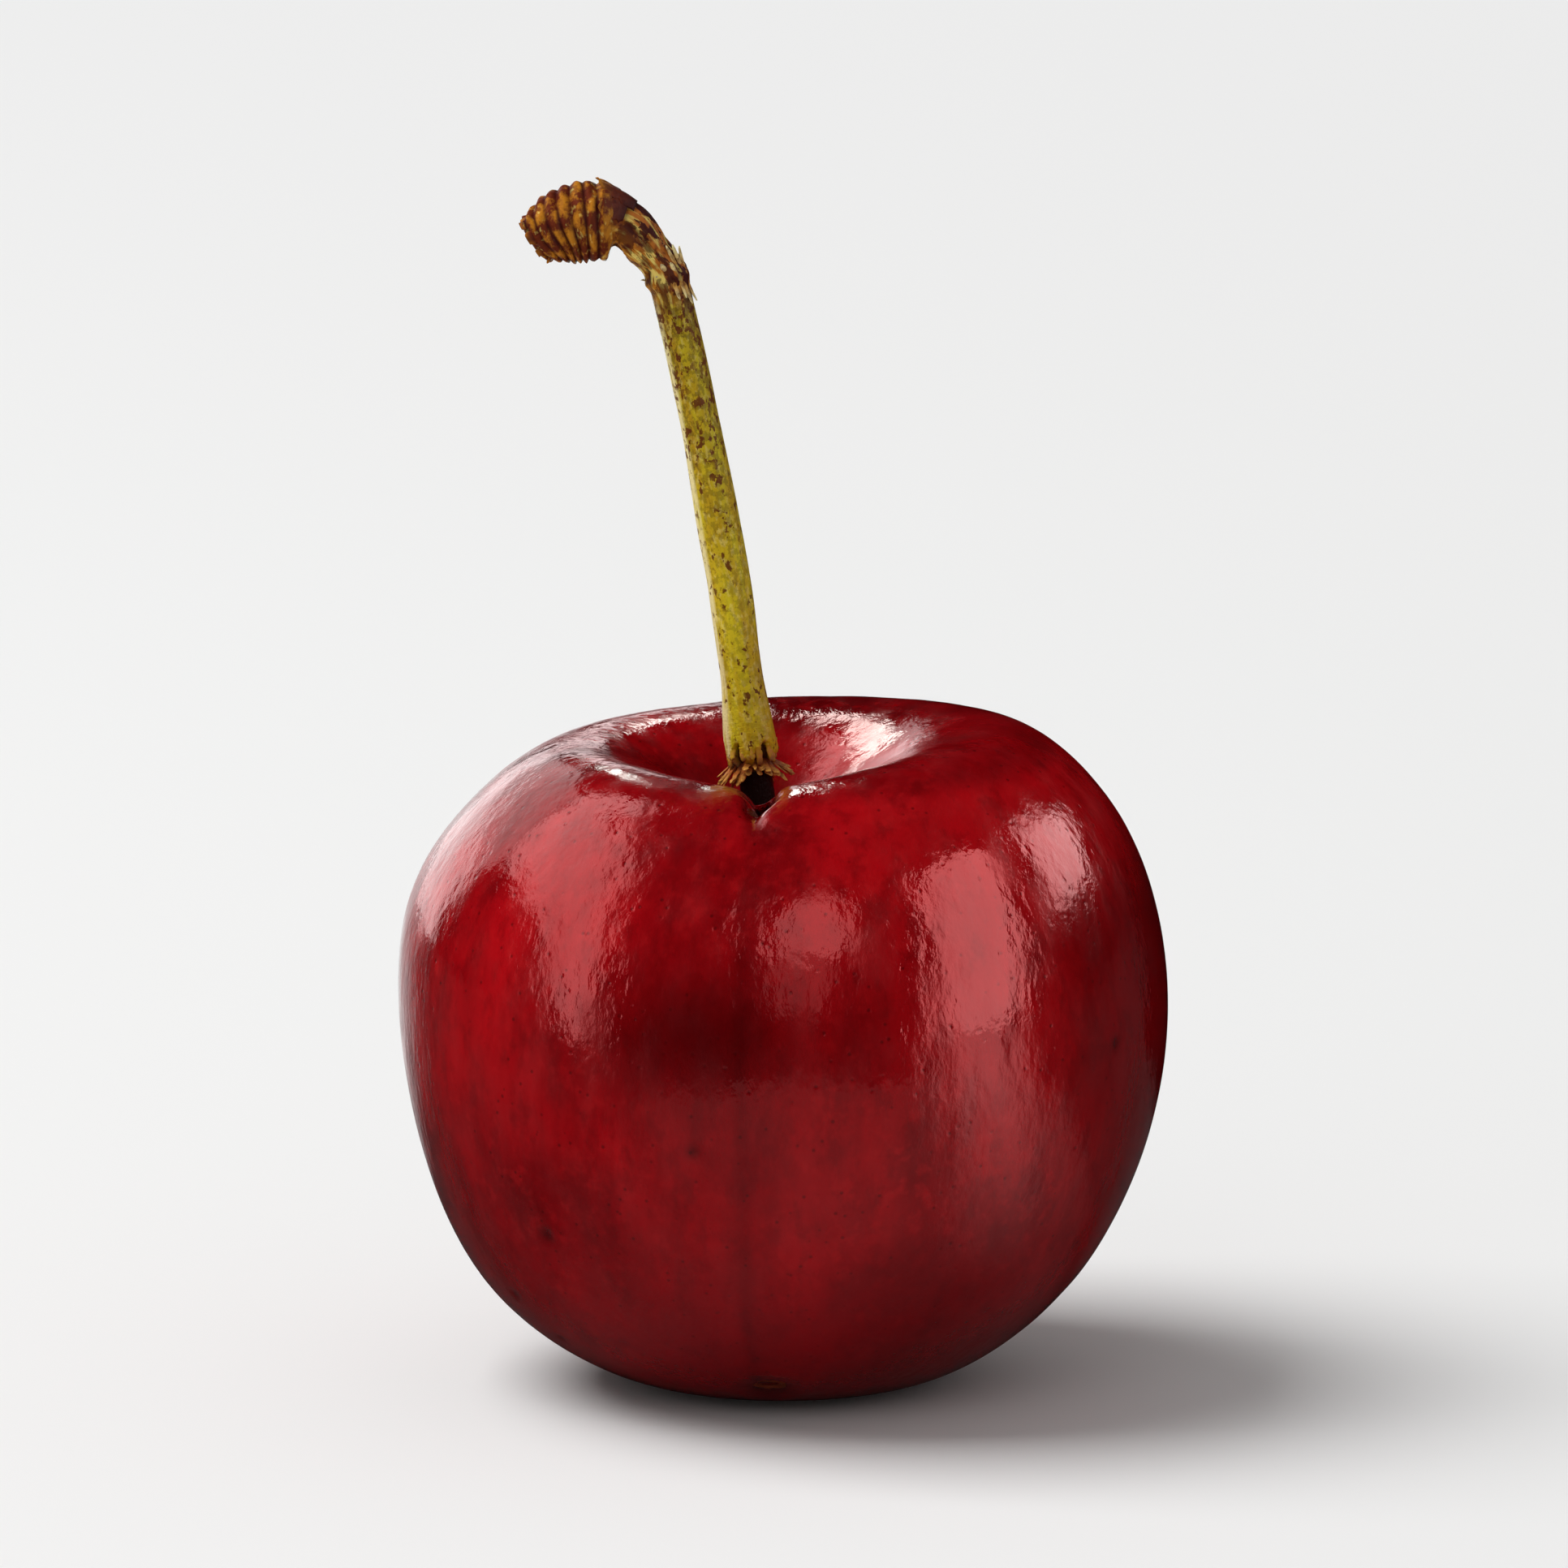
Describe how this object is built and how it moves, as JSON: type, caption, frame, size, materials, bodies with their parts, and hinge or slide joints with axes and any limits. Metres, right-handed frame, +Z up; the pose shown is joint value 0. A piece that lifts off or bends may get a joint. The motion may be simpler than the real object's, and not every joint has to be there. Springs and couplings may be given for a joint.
{
  "type": "cherry with stalk",
  "caption": "Glossy deep red sweet cherry, broad-shouldered and tapering to a small flat end, with a slim olive stalk that hooks over into a ridged woody knob.",
  "frame": {"origin": "centre of the flat resting face at the blossom end", "axes": "+Z up through the fruit to the stalk; -Y towards the suture line; +X towards the higher shoulder, so the stalk leans towards -X"},
  "size_m": [0.0283, 0.0261, 0.0447],
  "materials": {
    "skin": "gloss",
    "stalk": "matte"
  },
  "bodies": {
    "root": {"fruit": "skin", "stalk": "stalk"}
  },
  "joints": []
}
